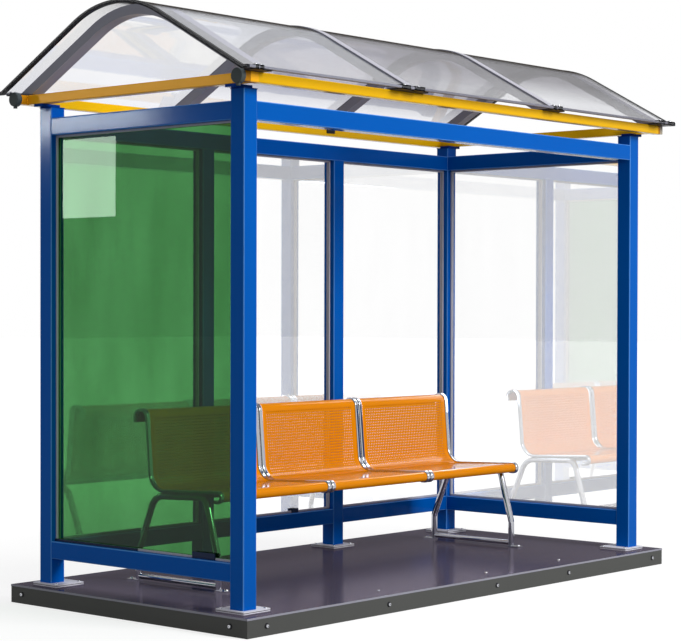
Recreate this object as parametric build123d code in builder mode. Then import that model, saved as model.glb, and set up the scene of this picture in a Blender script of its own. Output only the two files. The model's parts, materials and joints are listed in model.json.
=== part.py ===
"""Bus shelter with a vaulted clear roof, glazed on three sides, with a three-seat bench.

Millimetres, +Z up. X runs along the shelter, Y from the open front to the glazed back.
The origin is the centre of the plinth's underside.
"""
import os
from math import acos, atan2, cos, hypot, sin, tan

from build123d import *

os.makedirs("parts", exist_ok=True)

# Plinth, standing out past the frame
plinth_end_margin = 82
plinth_side_margin = 102
plinth_height = 82
deck_thickness = 4

# Posts and rails, square box section
section = 80
section_radius = 6
frame_length = 2986
frame_width = 1296
back_bays = 3
post_height = 2176
rail_recess = 2
low_rail_bottom = 124
top_rail_drop = 50
foot_plate = 165
foot_plate_thickness = 12
foot_plate_inset = 20
cap_thickness = 4
cap_lip = 2

# Glazing
glass_thickness = 8

# Roof frame, smaller square tube, standing out past the posts
beam = 44
beam_radius = 4
beam_overhang = 39
beam_standoff = 80
saddle_thickness = 12
saddle_width = 60
saddle_bearing = 20
disc_diameter = 64
disc_thickness = 26
stem = 18
stem_drop = 9
plug = 40
plug_length = 42

# Roof vault: a round crown, straight flanks and a flat lip at each eave
roof_overhang = 51
roof_bays = 3
eave_overhang = 62
lip_width = 28
lip_height = 58
crown_height = 398
crown_radius = 560
sheet_thickness = 8
rib_width = 60
rib_depth = 44
rib_inset = 135
rib_setback = 15
rib_foot_drop = 30
rib_foot_thickness = 8
joint_web = 8
cover_width = 44
cover_thickness = 5

# Clips that carry the sheets on the beams, by their reach to each side of the rib
clip_overhang = 32
clip_radius = 5
clip_left = 52
clip_mid_left = 75
clip_mid_left_inner = 95
clip_mid_right = 80
clip_right = 105

# Bench
seats = 3
bench_length = 2240
seat_front = -142
seat_height = 443
roll_height = 45
roll_return = 42
seat_depth = 453
seat_fall = 19
back_height = 794
back_lean = 32
curl_width = 76
curl_drop = 59
roll_radius = 22
lumbar_radius = 85
curl_radius = 36
shell_thickness = 3
bar_width = 24
bar_thickness = 16
bar_radius = 6
bar_gap = 6
spacer_thickness = 8
spacer_length = 156
leg_tube = 32
leg_inset = 20
front_foot_y = -114
rear_foot_y = 408
knee_height = 136
front_shoulder_y = -35
rear_shoulder_y = 298
front_shoulder_radius = 50
rear_shoulder_radius = 85
knee_radius = 60
floor_bar = 26
floor_bar_height = 22
ear_length = 72
ear_width = 46
ear_thickness = 6
ear_offset = 26
carrier_y = 105
carrier_depth = 50

# Places that follow from the sizes above
plinth_length = frame_length + 2 * plinth_end_margin
plinth_width = frame_width + 2 * plinth_side_margin
deck = plinth_height
post_x = (frame_length - section) / 2
post_y = (frame_width - section) / 2
post_top = deck + post_height
bay = 2 * post_x / back_bays
low_rail_z = deck + low_rail_bottom + section / 2
top_rail_z = post_top - top_rail_drop - section / 2
rail_depth = section - 2 * rail_recess
beam_bottom = post_top + saddle_thickness
beam_top = beam_bottom + beam
beam_z = beam_bottom + beam / 2
long_beam_y = frame_width / 2 + beam_standoff - beam / 2
side_beam_x = (frame_length + beam) / 2 - rail_recess
beam_length = 2 * (side_beam_x + beam / 2 + beam_overhang)
beam_inner_y = long_beam_y - beam / 2
beam_outer_y = long_beam_y + beam / 2


def export(builder, name):
    """Label a finished piece and write its file."""
    builder.part.label = name
    export_step(builder.part, f"parts/{name}.step")


# Plinth box
with BuildPart() as plinth_box:
    with BuildSketch():
        Rectangle(plinth_length, plinth_width)
    extrude(amount=plinth_height - deck_thickness)
export(plinth_box, "plinth_box")

# Deck sheet
with BuildPart() as deck_sheet:
    with BuildSketch(Plane.XY.offset(plinth_height - deck_thickness)):
        Rectangle(plinth_length, plinth_width)
    extrude(amount=deck_thickness)
export(deck_sheet, "deck_sheet")

# Posts: four at the corners, and two in the back wall that stop under the top rail
foot_top = deck + foot_plate_thickness
posts = (
    ("post_front_left", -post_x, -post_y, post_top - cap_thickness),
    ("post_front_right", post_x, -post_y, post_top - cap_thickness),
    ("post_back_left", -post_x, post_y, post_top - cap_thickness),
    ("post_back_right", post_x, post_y, post_top - cap_thickness),
    ("post_back_mid_left", -bay / 2, post_y, top_rail_z - section / 2),
    ("post_back_mid_right", bay / 2, post_y, top_rail_z - section / 2),
)
for name, x, y, top in posts:
    with BuildPart() as post:
        with BuildSketch(Plane.XY.offset(foot_top)):
            with Locations((x, y)):
                RectangleRounded(section, section, section_radius)
        extrude(amount=top - foot_top)
    export(post, name)

# Foot plates under the posts, set inwards from the plinth's edge at the corners
corners = [(x, y) for x in (-post_x, post_x) for y in (-post_y, post_y)]
plate_x = post_x - foot_plate_inset
plate_y = post_y - foot_plate_inset
with BuildPart() as foot_plates:
    with BuildSketch(Plane.XY.offset(deck)):
        with Locations(*((x, y) for x in (-plate_x, plate_x) for y in (-plate_y, plate_y))):
            RectangleRounded(foot_plate, foot_plate, section_radius)
        with Locations((-bay / 2, post_y), (bay / 2, post_y)):
            RectangleRounded(foot_plate, foot_plate, section_radius)
    extrude(amount=foot_plate_thickness)
export(foot_plates, "foot_plates")

# Cap plates on the corner posts, with the saddles that carry the roof frame
saddle_start = post_x - saddle_bearing
saddle_end = side_beam_x + beam / 2
with BuildPart() as post_caps:
    with BuildSketch(Plane.XY.offset(post_top - cap_thickness)):
        with Locations(*corners):
            RectangleRounded(section + 2 * cap_lip, section + 2 * cap_lip, section_radius)
    extrude(amount=cap_thickness)
    with BuildSketch(Plane.XY.offset(post_top)):
        with Locations(*(
            (end * (saddle_start + saddle_end) / 2, row * post_y)
            for end in (-1, 1) for row in (-1, 1)
        )):
            Rectangle(saddle_end - saddle_start, saddle_width)
    extrude(amount=saddle_thickness)
export(post_caps, "post_caps")

# Rails along the shelter: one high rail at the front and back, three low ones at the back
long_clear = 2 * post_x - section
bay_clear = bay - section
for name, y, z, places, length in (
    ("low_rails_back", post_y, low_rail_z, (-bay, 0, bay), bay_clear),
    ("top_rail_front", -post_y, top_rail_z, (0,), long_clear),
    ("top_rail_back", post_y, top_rail_z, (0,), long_clear),
):
    with BuildPart() as long_rail:
        for x in places:
            with BuildSketch(Plane.YZ.offset(x)):
                with Locations((y, z)):
                    RectangleRounded(rail_depth, section, section_radius)
            extrude(amount=length / 2, both=True)
    export(long_rail, name)

# Rails across the shelter, low and high at each end
cross_clear = 2 * post_y - section
for end, side in ((-1, "left"), (1, "right")):
    for level, z in (("low", low_rail_z), ("top", top_rail_z)):
        with BuildPart() as cross_rail:
            with BuildSketch(Plane.XZ):
                with Locations((end * post_x, z)):
                    RectangleRounded(rail_depth, section, section_radius)
            extrude(amount=cross_clear / 2, both=True)
        export(cross_rail, f"{level}_rail_{side}")

# Glass panes between the posts and rails
glass_bottom = low_rail_z + section / 2
glass_height = top_rail_z - section / 2 - glass_bottom
glass_z = glass_bottom + glass_height / 2
for end, side in ((-1, "left"), (1, "right")):
    with BuildPart() as end_pane:
        with BuildSketch(Plane.YZ.offset(end * post_x)):
            with Locations((0, glass_z)):
                Rectangle(cross_clear, glass_height)
        extrude(amount=glass_thickness / 2, both=True)
    export(end_pane, f"glass_{side}")
for x, place in ((-bay, "left"), (0, "centre"), (bay, "right")):
    with BuildPart() as back_pane:
        with BuildSketch(Plane.XZ.offset(-post_y)):
            with Locations((x, glass_z)):
                Rectangle(bay_clear, glass_height)
        extrude(amount=glass_thickness / 2, both=True)
    export(back_pane, f"glass_back_{place}")

# Roof frame: long beams with a plug in the right end
for row, depth in ((-1, "front"), (1, "back")):
    with BuildPart() as long_beam:
        with BuildSketch(Plane.YZ):
            with Locations((row * long_beam_y, beam_z)):
                RectangleRounded(beam, beam, beam_radius)
        extrude(amount=beam_length / 2, both=True)
        with BuildSketch(Plane.XY.offset(beam_z)):
            with Locations((beam_length / 2, row * long_beam_y)):
                SlotOverall(2 * plug_length, plug)
        extrude(amount=plug / 2, both=True)
    export(long_beam, f"roof_beam_{depth}")

# Discs with short stems, which close the left ends of the long beams
with BuildPart() as beam_discs:
    with BuildSketch(Plane.YZ.offset(-beam_length / 2)):
        with Locations((-long_beam_y, beam_z), (long_beam_y, beam_z)):
            Circle(disc_diameter / 2)
    extrude(amount=-disc_thickness)
    fillet(beam_discs.faces().filter_by(Axis.X).group_by(Axis.X)[0].edges(), beam_radius)
    with BuildSketch(Plane.XY.offset(beam_z - disc_diameter / 2 - stem_drop)):
        with Locations(*((-(beam_length + disc_thickness) / 2, y) for y in (-long_beam_y, long_beam_y))):
            Circle(stem / 2)
    extrude(amount=disc_diameter / 2)
export(beam_discs, "beam_discs")

# Side beams between the long ones, resting on the saddles
for end, side in ((-1, "left"), (1, "right")):
    with BuildPart() as side_beam:
        with BuildSketch(Plane.XZ):
            with Locations((end * side_beam_x, beam_z)):
                RectangleRounded(beam, beam, beam_radius)
        extrude(amount=long_beam_y - beam / 2, both=True)
    export(side_beam, f"roof_beam_{side}")

# Roof vault profile: each flank runs from the lip's knee to touch the round crown
roof_length = beam_length + 2 * roof_overhang
eave_half_width = beam_outer_y + eave_overhang
rib_reach = eave_half_width - rib_setback
crown_z = beam_bottom + crown_height
lip_z = beam_bottom + lip_height
crown_centre_z = crown_z - crown_radius
knee_reach = eave_half_width - lip_width
knee_rise = lip_z - crown_centre_z
flank_angle = atan2(knee_reach, knee_rise) - acos(crown_radius / hypot(knee_reach, knee_rise))
flank_slope = tan(flank_angle)


def vault_line(depth):
    """Crown, tangent and knee points of the vault at a depth under its outer face."""
    radius = crown_radius - depth
    tangent = (radius * sin(flank_angle), crown_centre_z + radius * cos(flank_angle))
    knee_z = lip_z - depth
    knee_y = tangent[0] + (tangent[1] - knee_z) / flank_slope
    return (0, crown_centre_z + radius), tangent, (knee_y, knee_z)


def flank_height(y, depth):
    """Height of a flank at a distance from the ridge and a depth under the outer face."""
    knee_y, knee_z = vault_line(depth)[2]
    return knee_z + (knee_y - y) * flank_slope


def vault_band(outer, inner, reach):
    """A closed band of the vault between two depths, out to a reach on each side."""
    with BuildSketch() as band:
        with BuildLine():
            for depth in (outer, inner):
                crown, tangent, knee = vault_line(depth)
                ThreePointArc((-tangent[0], tangent[1]), crown, tangent)
                for sign in (-1, 1):
                    Polyline(
                        (sign * tangent[0], tangent[1]),
                        (sign * knee[0], knee[1]),
                        (sign * reach, knee[1]),
                    )
            for sign in (-1, 1):
                Line((sign * reach, lip_z - outer), (sign * reach, lip_z - inner))
        make_face()
    return band.sketch


# Roof sheets
bay_length = roof_length / roof_bays
for number, place in enumerate(("left", "centre", "right")):
    start = -roof_length / 2 + number * bay_length
    stop = start + bay_length
    if number > 0:
        start += joint_web / 2
    if number < roof_bays - 1:
        stop -= joint_web / 2
    with BuildPart() as roof_sheet:
        with BuildSketch(Plane.YZ.offset(start)):
            add(vault_band(0, sheet_thickness, eave_half_width))
        extrude(amount=stop - start)
    export(roof_sheet, f"roof_sheet_{place}")

# Ribs under the vault, with clips under the sheets' lips. The two inner ones also join the
# sheets with a web and a cover strip, and have feet against the beams' inner faces.
foot_middle_y = beam_inner_y - rib_foot_thickness / 2
foot_low_z = beam_top - rib_foot_drop
foot_height = flank_height(foot_middle_y, sheet_thickness + rib_depth / 2) - foot_low_z
foot_middle_z = foot_low_z + foot_height / 2
clip_end_y = beam_outer_y + clip_overhang
for name, x, joins, clip_before, clip_after in (
    ("roof_rib_left", rib_inset - roof_length / 2, False, clip_left, 0),
    ("roof_rib_mid_left", -bay_length / 2, True, clip_mid_left, clip_mid_left_inner),
    ("roof_rib_mid_right", bay_length / 2, True, 0, clip_mid_right),
    ("roof_rib_right", roof_length / 2 - rib_inset, False, 0, clip_right),
):
    with BuildPart() as rib:
        with BuildSketch(Plane.YZ.offset(x)):
            add(vault_band(sheet_thickness, sheet_thickness + rib_depth, rib_reach))
        extrude(amount=rib_width / 2, both=True)
        if joins:
            with BuildSketch(Plane.YZ.offset(x)):
                add(vault_band(0, sheet_thickness, rib_reach))
            extrude(amount=joint_web / 2, both=True)
            with BuildSketch(Plane.YZ.offset(x)):
                add(vault_band(-cover_thickness, 0, rib_reach))
            extrude(amount=cover_width / 2, both=True)
        split(bisect_by=Plane.XY.offset(beam_top), keep=Keep.TOP)
        if joins:
            with BuildSketch(Plane.YZ.offset(x)):
                with Locations(*((row * foot_middle_y, foot_middle_z) for row in (-1, 1))):
                    Rectangle(rib_foot_thickness, foot_height)
            extrude(amount=rib_width / 2, both=True)
        with BuildSketch(Plane.XY.offset(beam_top)):
            with Locations(*(
                (x + (clip_after - clip_before) / 2, row * (beam_inner_y + clip_end_y) / 2)
                for row in (-1, 1)
            )):
                RectangleRounded(rib_width + clip_before + clip_after, clip_end_y - beam_inner_y, clip_radius)
        extrude(amount=lip_z - sheet_thickness - beam_top)
    export(rib, name)

# Bench side profile, front roll to back curl, shared by the seat shells and the bars
pan_z = deck + seat_height
seat_rear = seat_front + seat_depth
pan_slope = seat_fall / seat_depth
back_top = deck + back_height
profile = (
    (seat_front + roll_return, pan_z - roll_height),
    (seat_front, pan_z - roll_height),
    (seat_front, pan_z),
    (seat_rear, pan_z - seat_fall),
    (seat_rear + back_lean, back_top),
    (seat_rear + back_lean + curl_width, back_top),
    (seat_rear + back_lean + curl_width, back_top - curl_drop),
)
profile_radii = (roll_radius, roll_radius, lumbar_radius, curl_radius, curl_radius)
shell_width = (bench_length - 2 * seats * bar_width - (seats - 1) * bar_gap) / seats
joint_width = 2 * bar_width + bar_gap
seat_pitch = shell_width + joint_width


def pan_point(y, below):
    """Height of a line parallel to the seat pan, at a square distance below its centre."""
    return pan_z - (y - seat_front) * pan_slope - below * hypot(1, pan_slope)


# Seat shells
for x, place in ((-seat_pitch, "left"), (0, "centre"), (seat_pitch, "right")):
    with BuildPart() as seat_shell:
        with BuildLine(Plane.YZ.offset(x)) as route:
            FilletPolyline(*profile, radius=profile_radii)
        with BuildSketch(Plane(origin=route.line @ 0, x_dir=(1, 0, 0), z_dir=route.line % 0)):
            Rectangle(shell_width, shell_thickness)
        sweep()
    export(seat_shell, f"seat_{place}")

# Side bars: a single one at each end, and a joined pair between two seats
spacer_y = seat_front + seat_depth / 2
for name, x, centres in (
    ("bench_bar_left", (bar_width - bench_length) / 2, (0,)),
    ("bench_bar_mid_left", -seat_pitch / 2, (-1, 1)),
    ("bench_bar_mid_right", seat_pitch / 2, (-1, 1)),
    ("bench_bar_right", (bench_length - bar_width) / 2, (0,)),
):
    with BuildPart() as side_bar:
        for centre in centres:
            bar_x = x + centre * (bar_width + bar_gap) / 2
            with BuildLine(Plane.YZ.offset(bar_x)) as route:
                FilletPolyline(*profile, radius=profile_radii)
            with BuildSketch(Plane(origin=route.line @ 0, x_dir=(1, 0, 0), z_dir=route.line % 0)):
                RectangleRounded(bar_width, bar_thickness, bar_radius)
            sweep()
        if len(centres) > 1:
            middle = (x, spacer_y, pan_point(spacer_y, 0))
            with BuildSketch(Plane(origin=middle, x_dir=(1, 0, 0), z_dir=(0, 1, -pan_slope))):
                Rectangle(bar_gap + 2 * bar_radius, spacer_thickness)
            extrude(amount=spacer_length / 2, both=True)
    export(side_bar, name)

# Leg frames: a bent tube from foot to foot, a floor bar and an ear plate at each foot
under_bars = bar_thickness / 2 + leg_tube / 2
leg_x = bench_length / 2 - leg_inset
foot_z = deck + ear_thickness
leg_route = (
    (rear_foot_y, foot_z),
    (rear_foot_y, deck + knee_height),
    (rear_shoulder_y, pan_point(rear_shoulder_y, under_bars)),
    (front_shoulder_y, pan_point(front_shoulder_y, under_bars)),
    (front_foot_y, deck + knee_height),
    (front_foot_y, foot_z),
)
leg_radii = (knee_radius, rear_shoulder_radius, front_shoulder_radius, knee_radius)
for end, side in ((-1, "left"), (1, "right")):
    with BuildPart() as leg_frame:
        with BuildLine(Plane.YZ.offset(end * leg_x)) as route:
            FilletPolyline(*leg_route, radius=leg_radii)
        with BuildSketch(Plane(origin=route.line @ 0, x_dir=(1, 0, 0), z_dir=route.line % 0)):
            Circle(leg_tube / 2)
        sweep()
        with BuildSketch(Plane.XZ.offset(-front_foot_y)):
            with Locations((end * leg_x, deck + floor_bar_height)):
                Circle(floor_bar / 2)
        extrude(amount=front_foot_y - rear_foot_y)
        for foot_y, outward in ((front_foot_y, -1), (rear_foot_y, 1)):
            with BuildSketch(Plane.XY.offset(deck)):
                with Locations((end * leg_x, foot_y + outward * ear_offset)):
                    RectangleRounded(ear_width, ear_length, section_radius)
            extrude(amount=ear_thickness)
    export(leg_frame, f"bench_leg_{side}")

# Carrier beam under the seats, from leg frame to leg frame
carrier_z = pan_point(carrier_y, under_bars)
with BuildPart() as carrier:
    with BuildSketch(Plane.YZ):
        with BuildLine():
            Polyline(
                *(
                    (y, pan_point(y, bar_thickness / 2 + drop))
                    for y, drop in (
                        (carrier_y - carrier_depth / 2, 0),
                        (carrier_y + carrier_depth / 2, 0),
                        (carrier_y + carrier_depth / 2, leg_tube),
                        (carrier_y - carrier_depth / 2, leg_tube),
                    )
                ),
                close=True,
            )
        make_face()
    extrude(amount=leg_x, both=True)
    for end in (-1, 1):
        along_pan = Plane(origin=(end * leg_x, carrier_y, carrier_z), z_dir=(0, 1, -pan_slope))
        with BuildSketch(along_pan):
            Circle(leg_tube / 2)
        extrude(amount=carrier_depth, both=True, mode=Mode.SUBTRACT)
export(carrier, "bench_carrier")
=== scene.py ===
"""Bus shelter: finishes, perforated seats, trim of the glass and roof, fixings and a stage."""
import json
from math import acos, atan2, ceil, cos, hypot, pi, radians, sin, tan

import bmesh
import bpy
from mathutils import Matrix, Vector

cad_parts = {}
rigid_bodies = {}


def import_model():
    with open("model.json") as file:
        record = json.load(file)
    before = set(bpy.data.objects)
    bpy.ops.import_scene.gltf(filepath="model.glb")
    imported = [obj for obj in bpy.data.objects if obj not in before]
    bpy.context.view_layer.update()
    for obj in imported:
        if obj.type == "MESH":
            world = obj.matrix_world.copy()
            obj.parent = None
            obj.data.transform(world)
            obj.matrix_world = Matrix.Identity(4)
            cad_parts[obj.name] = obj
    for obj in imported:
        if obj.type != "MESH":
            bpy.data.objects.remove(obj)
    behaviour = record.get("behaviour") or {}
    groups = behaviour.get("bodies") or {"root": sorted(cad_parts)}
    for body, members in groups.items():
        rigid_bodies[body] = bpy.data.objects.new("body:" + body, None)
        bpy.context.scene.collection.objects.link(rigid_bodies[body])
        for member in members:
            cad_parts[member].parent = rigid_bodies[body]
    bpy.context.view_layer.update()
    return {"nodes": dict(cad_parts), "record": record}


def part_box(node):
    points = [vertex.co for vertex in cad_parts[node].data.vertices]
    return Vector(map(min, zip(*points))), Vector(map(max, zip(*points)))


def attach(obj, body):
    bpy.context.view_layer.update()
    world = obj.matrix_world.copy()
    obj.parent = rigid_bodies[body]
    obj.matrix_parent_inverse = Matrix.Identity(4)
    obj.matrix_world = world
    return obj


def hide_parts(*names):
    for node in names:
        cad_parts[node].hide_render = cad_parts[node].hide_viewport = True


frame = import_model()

bl_info = {
    "name": "Bus Shelter",
    "version": (1, 1, 0),
    "blender": (4, 5, 0),
    "location": "View3D > Sidebar > Shelter",
    "description": "Finishes, trim, fixings and perforated seats of a glazed bus shelter",
    "category": "Add Mesh",
}

MM = 0.001
# sizes of the fixed roof that its trim follows
SHEET = 8 * MM
JOINT_WEB = 8 * MM
CROWN_RADIUS = 560 * MM
LIP_WIDTH = 28 * MM
END_RIB_INSET = 135 * MM
RIB_WIDTH = 60 * MM


# Settings

def length(name, description, default):
    """A size property in metres, its default given here in millimetres."""
    return bpy.props.FloatProperty(
        name=name, description=description, default=default * MM, min=0, unit="LENGTH")


def colour(name, description, hex_text):
    """A colour property, as an sRGB hex value."""
    return bpy.props.StringProperty(name=name, description=description, default=hex_text)


class ShelterColours(bpy.types.PropertyGroup):
    """Colours as sRGB hex values"""
    blue: colour("Blue", "Powder coat of the posts and rails", "005AB8")
    # a painted highlight: a paler colour of the coat for the rounded edges
    blue_edge_highlight: colour("Blue edge", "The same coat on the rounded edges", "4C8CDC")
    yellow: colour("Yellow", "Powder coat of the roof frame", "E6B00C")
    # painted light: the left cross beam's yellow, brighter to make up for the shade it stands in
    yellow_brightened: colour("Yellow end", "The same coat on the left cross beam", "FFB820")
    sleeve: colour("Sleeve", "Sleeves at the ends of the long beams", "B3760C")
    plug: colour("Plug", "Plugs in the right ends of the long beams", "A89F8F")
    orange: colour("Orange", "Powder coat of the seats", "E68A04")
    skirt: colour("Skirt", "Painted sheet round the plinth", "535452")
    deck: colour("Deck", "Lacquered sheet on the plinth", "6C6572")
    # a painted highlight: the folded edge is paler than the deck, for the light along it
    edging_highlight: colour("Edging", "Folded edge of the deck sheet", "9C9CA8")
    green: colour("Green glass", "Body tint of the left pane", "42884A")
    clear: colour("Clear glass", "Faint body tint of the clear panes", "FFFFFF")
    # the bays' body tints differ as painted light and shade, darker to the right; the real sheets
    # are probably alike
    roof_left: colour("Left roof sheet", "Body tint of the left bay", "E8EBF5")
    roof_centre_shaded: colour("Centre roof sheet", "Body tint of the centre bay", "B0AEBA")
    roof_right_shaded: colour("Right roof sheet", "Body tint of the right bay", "908E98")
    smoke: colour("Roof smoke", "Tint of the roof sheets seen edge-on", "3A3735")


class ShelterSizes(bpy.types.PropertyGroup):
    """Sizes of the trim and the fixings"""
    hole_pitch: length("Hole pitch", "From hole to hole in the seats", 14.0)
    hole: length("Hole", "Diameter of a hole in the seats", 6.6)
    shell: length("Shell", "Thickness of the seat sheet", 3)
    bead_width: length("Bead width", "Face of a glazing bead", 9)
    bead_depth: length("Bead depth", "How far a bead stands off the glass", 9)
    trim_width: length("Roof trim", "Width of the trim on the ends of the roof", 18)
    screw_head: length("Screw head", "Diameter of the plinth's screw heads", 16)
    bolt_head: length("Bolt head", "Diameter of the bolt heads on the feet", 15)


# Node and colour helpers

def linear(hex_text):
    """An sRGB hex value as linear RGBA."""
    parts = [int(hex_text[i:i + 2], 16) / 255 for i in (0, 2, 4)]
    return (*(p / 12.92 if p <= 0.04045 else ((p + 0.055) / 1.055) ** 2.4 for p in parts), 1.0)


def add(tree, kind, inputs=None, **settings):
    """Add a node with its settings; an input is a value or a (node, socket) link."""
    made = tree.nodes.new(kind)
    for key, value in settings.items():
        setattr(made, key, value)
    for key, value in (inputs or {}).items():
        if isinstance(value, tuple) and len(value) == 2 and isinstance(value[0], bpy.types.Node):
            tree.links.new(value[0].outputs[value[1]], made.inputs[key])
        else:
            made.inputs[key].default_value = value
    return made


def material(name, **constants):
    """A new material with a Principled shader and its constants: (material, tree, shader)."""
    made = bpy.data.materials.new(name)
    made.use_nodes = True
    tree = made.node_tree
    tree.nodes.clear()
    shader = tree.nodes.new("ShaderNodeBsdfPrincipled")
    for key, value in constants.items():
        shader.inputs[key.replace("_", " ")].default_value = value
    add(tree, "ShaderNodeOutputMaterial", {"Surface": (shader, 0)})
    return made, tree, shader


def grain(tree, size, detail=2.0, stretch=(1, 1, 1)):
    """Noise on Object coordinates, its grains this many metres long before they are stretched."""
    where = add(tree, "ShaderNodeTexCoord")
    mapped = add(tree, "ShaderNodeMapping", {"Vector": (where, "Object"), "Scale": stretch})
    return add(tree, "ShaderNodeTexNoise", {
        "Vector": (mapped, 0), "Scale": 1 / size, "Detail": detail})


def zones(tree, axis, first_hex, steps):
    """A colour, or a link to one, that changes at given places in metres along an axis."""
    where = add(tree, "ShaderNodeTexCoord")
    split = add(tree, "ShaderNodeSeparateXYZ", {0: (where, "Object")})
    result = linear(first_hex)
    for edge, hex_text in steps:
        past = add(tree, "ShaderNodeMath", {0: (split, axis), 1: edge}, operation="GREATER_THAN")
        mixed = add(tree, "ShaderNodeMix", {0: (past, 0), "A": result, "B": linear(hex_text)},
                    data_type="RGBA")
        result = (mixed, 2)
    return result


def painted_edge_highlight(tree, base, highlight_hex):
    """Base colour with a paler one painted on rounded edges as a painted highlight, where the
    normal lies between the axes.
    """
    where = add(tree, "ShaderNodeTexCoord")
    size = add(tree, "ShaderNodeVectorMath", {0: (where, "Normal")}, operation="ABSOLUTE")
    # the parts of the normal add up to 1 on a flat face and to 1.41 half-way round an edge
    total = add(tree, "ShaderNodeVectorMath", {0: (size, 0), 1: (1, 1, 1)},
                operation="DOT_PRODUCT")
    share = add(tree, "ShaderNodeMapRange", {
        "Value": (total, "Value"), "From Min": 1.1, "From Max": 1.35})
    mixed = add(tree, "ShaderNodeMix", {0: (share, 0), "A": base, "B": linear(highlight_hex)},
                data_type="RGBA")
    return (mixed, 2)


# Finishes

def dressed(tree, shader, base, size, drift, low, high, depth, stretch=(1, 1, 1), detail=2.0):
    """Give a shader its base colour with a slight drift, and roughness and relief from a grain."""
    # the drift shows as patches nearly half a metre across
    broad = grain(tree, 455 * MM)
    tint = add(tree, "ShaderNodeMix", {0: (broad, 0), "A": linear(drift), "B": linear("FFFFFF")},
               data_type="RGBA")
    whole = add(tree, "ShaderNodeMix", {0: 1.0, "A": base, "B": (tint, 2)},
                data_type="RGBA", blend_type="MULTIPLY")
    fine = grain(tree, size, detail, stretch)
    relief = add(tree, "ShaderNodeBump", {"Height": (fine, 0), "Distance": depth})
    rough = add(tree, "ShaderNodeMapRange", {
        "Value": (fine, 0), "From Min": 0.3, "From Max": 0.7, "To Min": low, "To Max": high})
    tree.links.new(whole.outputs[2], shader.inputs["Base Color"])
    tree.links.new(relief.outputs[0], shader.inputs["Normal"])
    tree.links.new(rough.outputs[0], shader.inputs["Roughness"])


def powder_coat(name, base_hex, roughness, gloss, steps=(), edge=None):
    """Powder coat baked on steel: an even colour with faint orange peel about 4 mm across."""
    made, tree, shader = material(name, Specular_IOR_Level=gloss)
    base = zones(tree, 0, base_hex, steps)
    if edge:
        # a paler colour is painted on the rounded edges as thin painted highlights
        base = painted_edge_highlight(tree, base, edge)
    dressed(tree, shader, base, 4.17 * MM, "F0F0F0", roughness * 0.8, roughness * 1.25, 0.05 * MM)
    return made


def plated(name, base_hex, roughness, depth):
    """Plated metal: bright, with a trace of unevenness some 17 mm across."""
    made, tree, shader = material(name, Metallic=1.0)
    dressed(tree, shader, linear(base_hex), 16.7 * MM, "EAEAEA", roughness * 0.7, roughness * 1.4,
            depth)
    return made


def light_passes(tree, surface, tint):
    """Let lamps and soft light through a surface, as they go through real sheet."""
    path = add(tree, "ShaderNodeLightPath")
    lit = add(tree, "ShaderNodeMath", {0: (path, "Is Shadow Ray"), 1: (path, "Is Diffuse Ray")},
              operation="MAXIMUM")
    through = add(tree, "ShaderNodeBsdfTransparent", {"Color": tint})
    mixed = add(tree, "ShaderNodeMixShader", {0: (lit, 0), 1: surface, 2: (through, 0)})
    out = next(n for n in tree.nodes if n.type == "OUTPUT_MATERIAL")
    tree.links.new(mixed.outputs[0], out.inputs["Surface"])


def one_face(hex_text):
    """What light keeps of its colour at each of a sheet's two faces."""
    return tuple(c ** 0.5 for c in linear(hex_text))


def satin_metal(name, base_hex, steps=(), passing=False):
    """Etched and anodised metal: pale and satin, its lines 17 mm long and 3 mm wide."""
    made, tree, shader = material(name, Specular_IOR_Level=0.06)
    base = zones(tree, 2, base_hex, steps)
    dressed(tree, shader, base, 16.7 * MM, "EEEEEE", 0.3, 0.45, 0.02 * MM, (1, 6, 6), 4.0)
    if passing:
        # a narrow edge strip casts no hard line of shadow on the beam under it
        light_passes(tree, (shader, 0), linear("E7E7E7"))
    return made


def moulded(name, base_hex, roughness):
    """Moulded plastic or rubber: satin, with a spark-eroded grain just over 1 mm across.

    The real grain is finer and is drawn coarser here, so that it shows.
    """
    made, tree, shader = material(name, Specular_IOR_Level=0.08)
    dressed(tree, shader, linear(base_hex), 1.18 * MM, "E4E4E4", roughness * 0.85,
            roughness * 1.2, 0.08 * MM)
    return made


def deck_lacquer(name, base_hex):
    """Lacquered dark steel sheet: a soft mirror of the posts, kept dim at a shallow angle."""
    made, tree, shader = material(name, Metallic=0.5, Specular_IOR_Level=0.0)
    # the tint holds back the strong mirror that a shallow view would give
    shader.inputs["Specular Tint"].default_value = linear("BCB6C4")
    # rolling marks run along the shelter, some 60 mm long and 4 mm wide
    dressed(tree, shader, linear(base_hex), 62.5 * MM, "E8E4EC", 0.12, 0.18, 0.02 * MM,
            (1, 14, 1), 5.0)
    return made


def tinted(tree, shader, base, streak, roughness):
    """Give a clear sheet its body tint, with cloudy streaks some 200 mm wide from rolling."""
    film = grain(tree, 200 * MM, 3, (1, 1, 0.3))
    cloud = add(tree, "ShaderNodeMapRange", {
        "Value": (film, 0), "From Min": 0.3, "From Max": 0.7})
    drift = add(tree, "ShaderNodeMix", {0: (cloud, 0), "A": linear(streak), "B": linear("FFFFFF")},
                data_type="RGBA")
    body = add(tree, "ShaderNodeMix", {0: 1.0, "A": base, "B": (drift, 2)},
               data_type="RGBA", blend_type="MULTIPLY")
    rough = add(tree, "ShaderNodeMapRange", {
        "Value": (film, 0), "To Min": roughness * 0.5, "To Max": roughness * 1.5})
    tree.links.new(body.outputs[2], shader.inputs["Base Color"])
    tree.links.new(rough.outputs[0], shader.inputs["Roughness"])


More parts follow.
